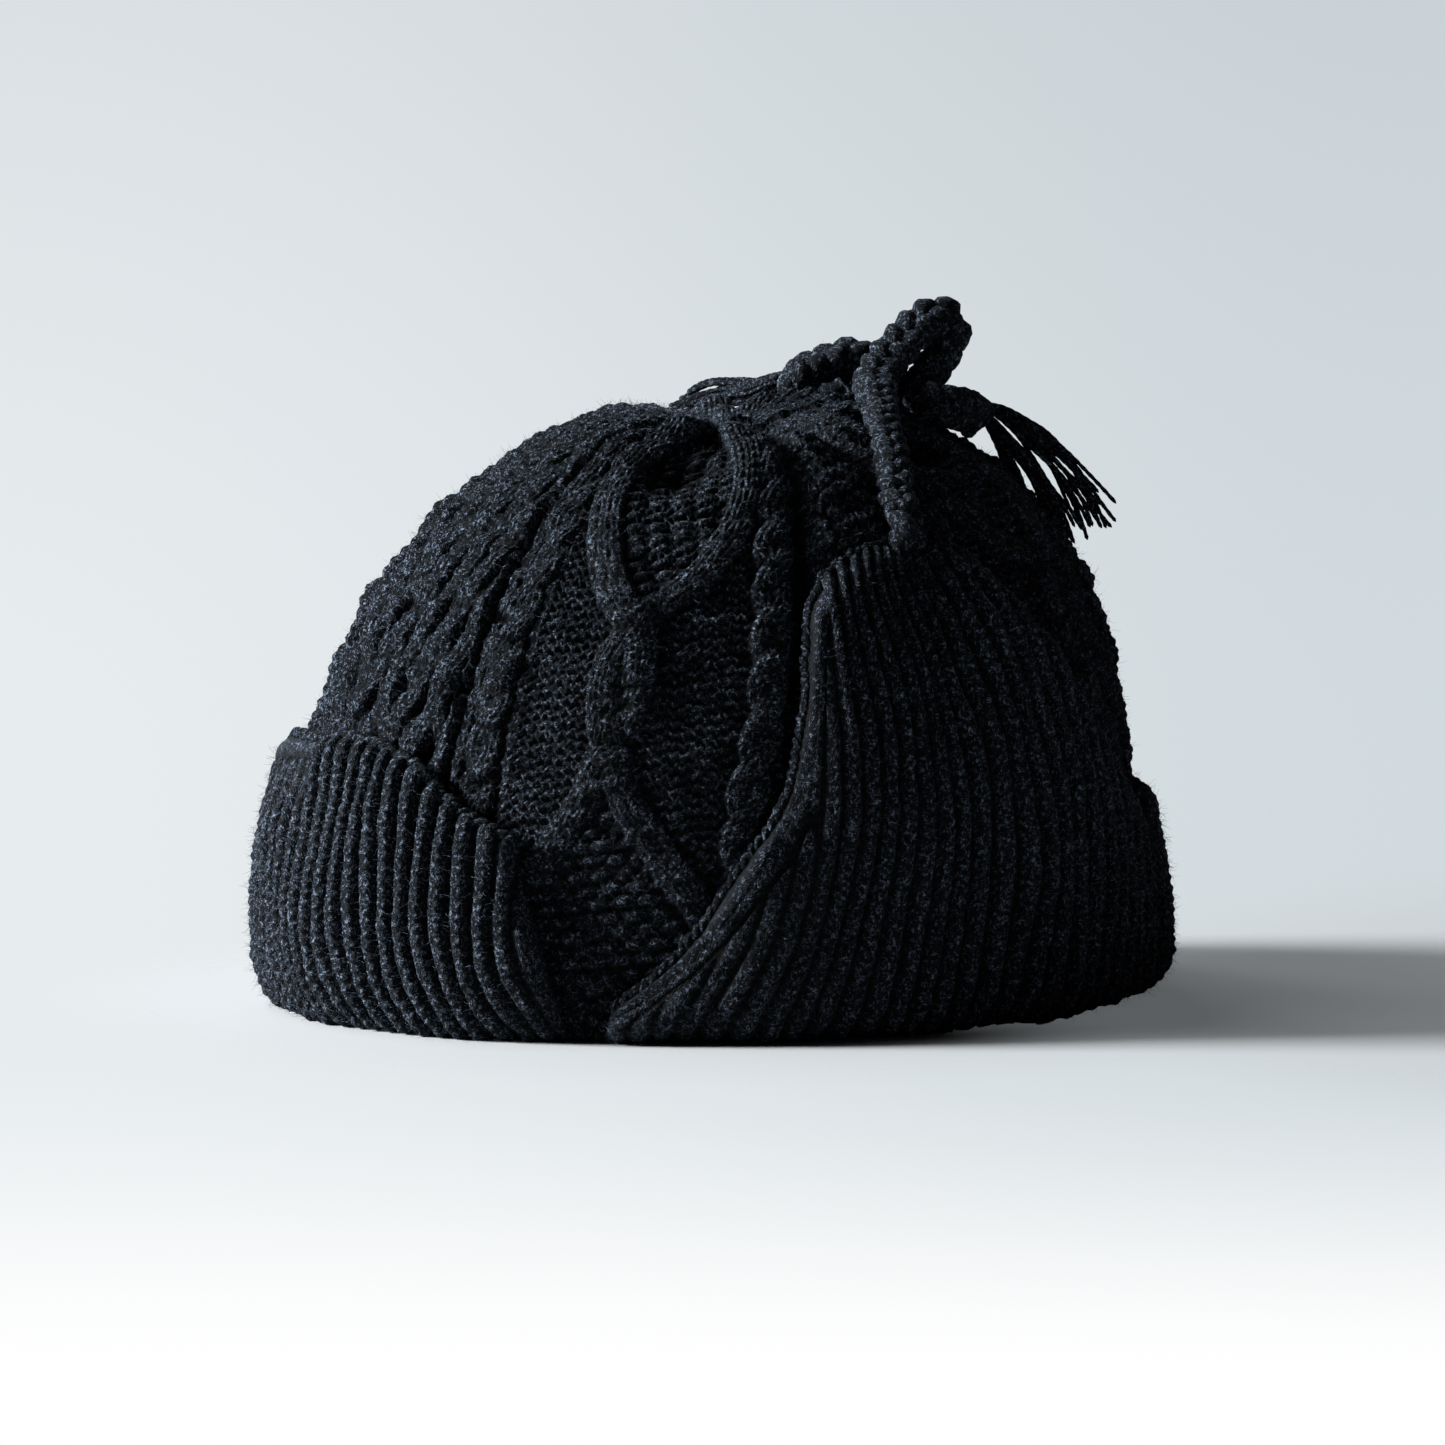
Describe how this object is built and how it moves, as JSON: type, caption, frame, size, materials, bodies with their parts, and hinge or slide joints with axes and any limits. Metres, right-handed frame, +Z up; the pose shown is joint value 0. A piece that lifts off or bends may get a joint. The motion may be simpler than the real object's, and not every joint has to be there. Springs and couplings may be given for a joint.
{
  "type": "knit ear-flap hat",
  "caption": "Cable-knit wool ear-flap hat with its front, ear and neck flaps turned up and its braided ties bowed over the crown.",
  "frame": {"origin": "centre of the hat's foot, on the surface that the rim stands on", "axes": "+Z up through the crown, -Y towards the front of the hat, +X towards the wearer's left ear"},
  "size_m": [0.204, 0.2381, 0.1721],
  "materials": {
    "cable_knit": "cable-knit wool, near-black navy, matt with a soft fuzz",
    "rib_knit": "one-by-one ribbed wool, near-black navy, matt with a soft fuzz",
    "edging": "crocheted wool chain, near-black navy",
    "braid": "three-strand braided wool, near-black navy",
    "yarn": "loose plied wool yarn, near-black navy"
  },
  "bodies": {
    "crown": {"crown_shell": "cable_knit", "rim_band": "rib_knit", "gather_yarn": "yarn"},
    "front_flap": {"front_flap": "rib_knit", "front_edging": "edging"},
    "neck_flap": {"neck_flap": "rib_knit", "neck_edging": "edging"},
    "left_ear_flap": {"left_ear_flap": "rib_knit", "left_ear_edging": "edging", "left_tie_anchor": "braid"},
    "right_ear_flap": {"right_ear_flap": "rib_knit", "right_ear_edging": "edging", "right_tie_anchor": "braid"},
    "left_tie": {"left_tie": "braid", "left_end_knot": "braid", "left_tassel": "yarn"},
    "right_tie": {"right_tie": "braid", "right_end_knot": "braid", "right_tassel": "yarn", "bow_knot": "braid"}
  },
  "joints": [
    {"name": "front_flap_fold", "type": "hinge", "parent": "crown", "child": "front_flap", "pos_m": [0, -0.0945, 0], "axis": [1, 0, 0], "range_deg": [0, 165]},
    {"name": "neck_flap_fold", "type": "hinge", "parent": "crown", "child": "neck_flap", "pos_m": [0, 0.0975, 0], "axis": [-1, 0, 0], "range_deg": [0, 165]},
    {"name": "left_ear_flap_fold", "type": "hinge", "parent": "crown", "child": "left_ear_flap", "pos_m": [0.077, 0.009, 0], "axis": [0, 1, 0], "range_deg": [0, 165]},
    {"name": "right_ear_flap_fold", "type": "hinge", "parent": "crown", "child": "right_ear_flap", "pos_m": [-0.077, 0.009, 0], "axis": [0, -1, 0], "range_deg": [0, 165]},
    {"name": "left_tie_swing", "type": "hinge", "parent": "left_ear_flap", "child": "left_tie", "pos_m": [0.0754, 0.0093, 0.1221], "axis": [0, 1, 0], "range_deg": [0, 75]},
    {"name": "right_tie_swing", "type": "hinge", "parent": "right_ear_flap", "child": "right_tie", "pos_m": [-0.0754, 0.0093, 0.1221], "axis": [0, -1, 0], "range_deg": [0, 75]}
  ]
}
